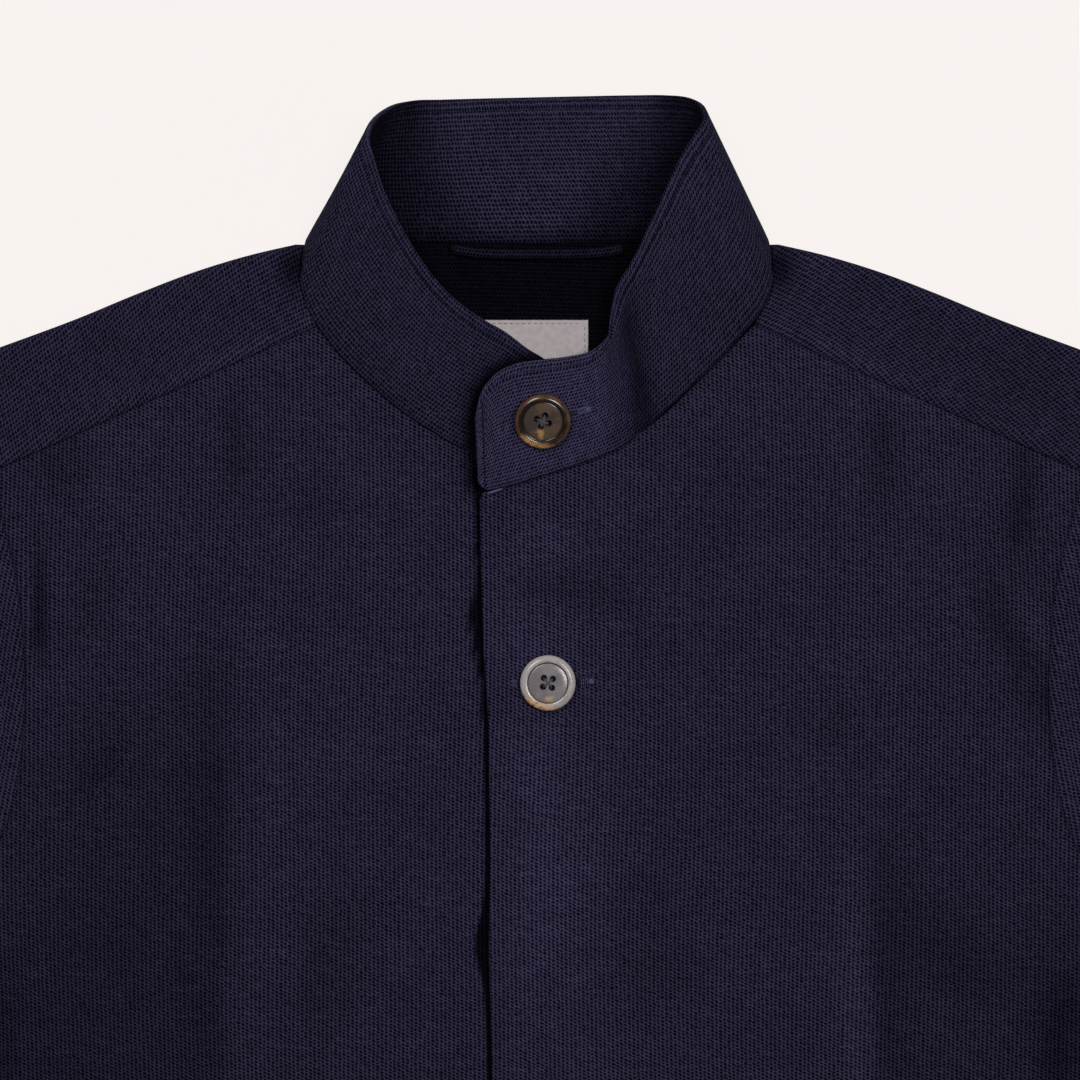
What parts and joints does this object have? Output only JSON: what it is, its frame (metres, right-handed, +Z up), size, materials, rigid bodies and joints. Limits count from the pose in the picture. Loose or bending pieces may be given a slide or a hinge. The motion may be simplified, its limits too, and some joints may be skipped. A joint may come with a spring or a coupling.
{
  "type": "nehru jacket",
  "caption": "Long-sleeved knit jacket with a stand collar, a lapped button tab and a buttoned front, closed and laid flat on its back.",
  "frame": {"origin": "middle of the jacket's length and width, on the surface that it lies on", "axes": "+X towards the wearer's left sleeve, +Y from the hem to the collar, +Z up from the surface, out of the chest"},
  "size_m": [1.3468, 0.7761, 0.0251],
  "materials": {
    "knit": "matt dark navy pique knit with small staggered openings",
    "loop": "matt black-navy corded braid",
    "label": "white satin, bare",
    "horn_brown": "polished dark brown horn with amber streaks",
    "horn_grey": "polished smoky grey horn with cream streaks"
  },
  "bodies": {
    "root": {"back": "knit", "yoke": "knit", "front_left": "knit", "front_right": "knit", "sleeve_left": "knit", "sleeve_right": "knit", "collar": "knit", "hanger_loop": "loop", "neck_label": "label", "button_1": "horn_brown", "button_2": "horn_grey", "button_3": "horn_brown", "button_4": "horn_grey", "button_5": "horn_brown"}
  },
  "joints": []
}
